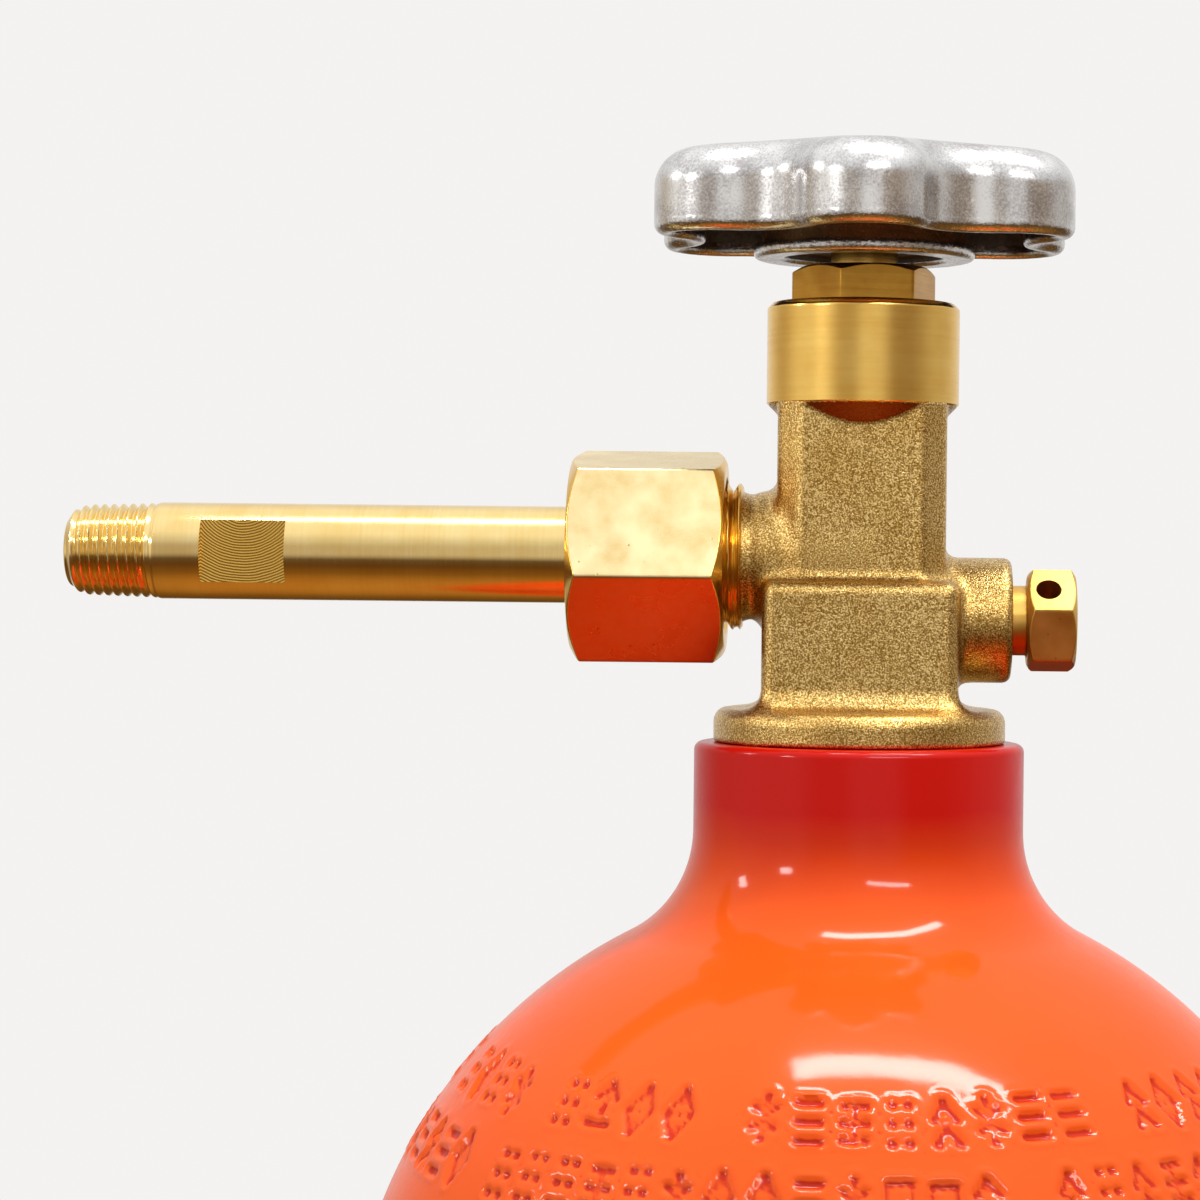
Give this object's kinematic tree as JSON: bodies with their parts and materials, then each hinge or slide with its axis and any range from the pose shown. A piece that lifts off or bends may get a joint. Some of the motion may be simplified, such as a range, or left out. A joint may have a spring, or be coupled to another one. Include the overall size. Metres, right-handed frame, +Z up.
{
  "type": "gas cylinder with valve",
  "caption": "Painted steel gas cylinder with a domed shoulder, a brass handwheel valve, a bursting-disc plug and a long nipple held to the outlet by a union nut.",
  "frame": {"origin": "centre of the flat standing ring under the cylinder", "axes": "+Z up along the cylinder and the spindle, -X along the outlet and its nipple, +X along the bursting-disc plug, -Y is the front"},
  "size_m": [0.193, 0.15, 0.4884],
  "materials": {
    "paint": "glossy orange-red enamel over steel, slightly wavy",
    "forged_brass": "shot-blasted forging, matte and sparkling, with turned faces left bright",
    "turned_brass": "bright turned and milled brass with fine tool lines",
    "cast_aluminium": "die-cast aluminium, tumbled, slightly pitted",
    "plated_steel": "zinc plated",
    "copper": "soft copper",
    "rubber_seal": "smooth black rubber",
    "polymer_seal": "smooth white seal plastic"
  },
  "bodies": {
    "root": {"cylinder_shell": "paint", "neck_o_ring": "rubber_seal", "valve_body": "forged_brass", "bonnet": "turned_brass", "bonnet_gasket": "copper", "thrust_washer": "polymer_seal", "relief_plug": "turned_brass", "burst_disc": "copper", "disc_washer": "plated_steel", "outlet_gasket": "polymer_seal"},
    "handwheel": {"handwheel": "cast_aluminium", "handwheel_washer": "plated_steel", "handwheel_nut": "plated_steel", "upper_spindle": "turned_brass", "spindle_o_ring": "rubber_seal", "backup_ring": "polymer_seal"},
    "lower_spindle": {"lower_spindle": "turned_brass", "seat_insert": "polymer_seal"},
    "nipple": {"nipple": "turned_brass"},
    "union_nut": {"union_nut": "turned_brass"}
  },
  "joints": [
    {"name": "wheel_turn", "type": "hinge", "parent": "root", "child": "handwheel", "pos_m": [0, 0, 0.4], "axis": [0, 0, 1], "range_deg": [0, 900]},
    {"name": "spindle_lift", "type": "slide", "parent": "handwheel", "child": "lower_spindle", "axis": [0, 0, 1], "range_m": [0, 0.00376]},
    {"name": "nipple_slide", "type": "slide", "parent": "root", "child": "nipple", "axis": [-1, 0, 0], "range_m": [0, 0.0109]},
    {"name": "union_turn", "type": "hinge", "parent": "nipple", "child": "union_nut", "pos_m": [-0.03, 0, 0.4275], "axis": [-1, 0, 0], "range_deg": [0, 2160]}
  ],
  "couplings": [
    {"joint": "spindle_lift", "follows": "wheel_turn", "m_per_rad": 0.00023873},
    {"joint": "nipple_slide", "follows": "union_turn", "m_per_rad": 0.00028871}
  ]
}
